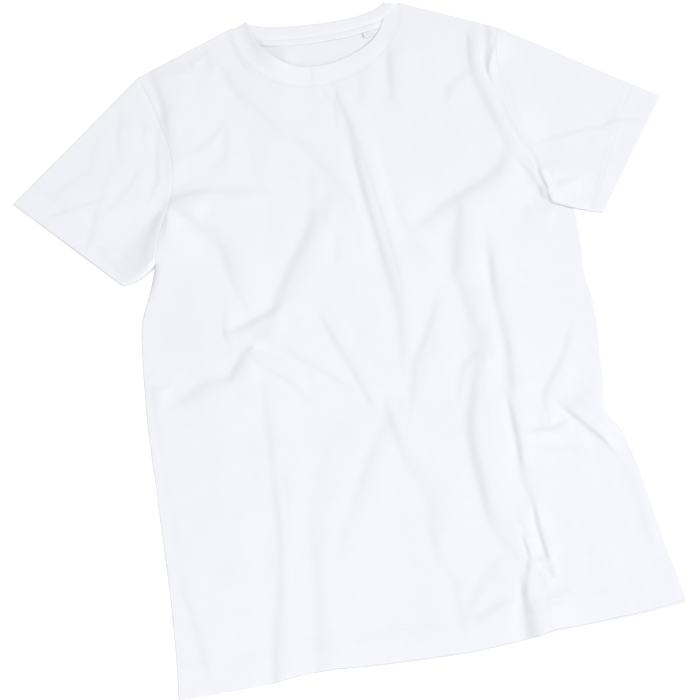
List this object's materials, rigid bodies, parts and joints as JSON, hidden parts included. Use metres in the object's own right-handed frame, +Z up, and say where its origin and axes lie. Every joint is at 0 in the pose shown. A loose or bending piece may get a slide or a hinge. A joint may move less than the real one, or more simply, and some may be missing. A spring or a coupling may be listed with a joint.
{
  "type": "crew neck t-shirt",
  "caption": "Short-sleeved crew neck T-shirt laid flat on its back, with soft folds in the front, a ribbed neckband, a taped back neck seam and plain hems.",
  "frame": {"origin": "on the surface that the shirt lies on, under the middle of its outline", "axes": "+Z up from the surface, +Y from the hem towards the neck, +X towards the right-hand sleeve as seen from above"},
  "size_m": [0.718, 0.7303, 0.0129],
  "materials": {
    "jersey": "matt white single jersey, a fine smooth knit with a faint cool cast",
    "rib": "matt white fine rib, folded double",
    "tape": "matt white jersey tape, stitched along both edges",
    "tab": "smooth white woven tab, plain",
    "thread": "white sewing thread with a slight lustre"
  },
  "bodies": {
    "root": {"front_panel": "jersey", "back_panel": "jersey", "sleeve_left": "jersey", "sleeve_right": "jersey", "neckband": "rib", "neck_tape": "tape", "neck_tab": "tab"}
  },
  "joints": []
}
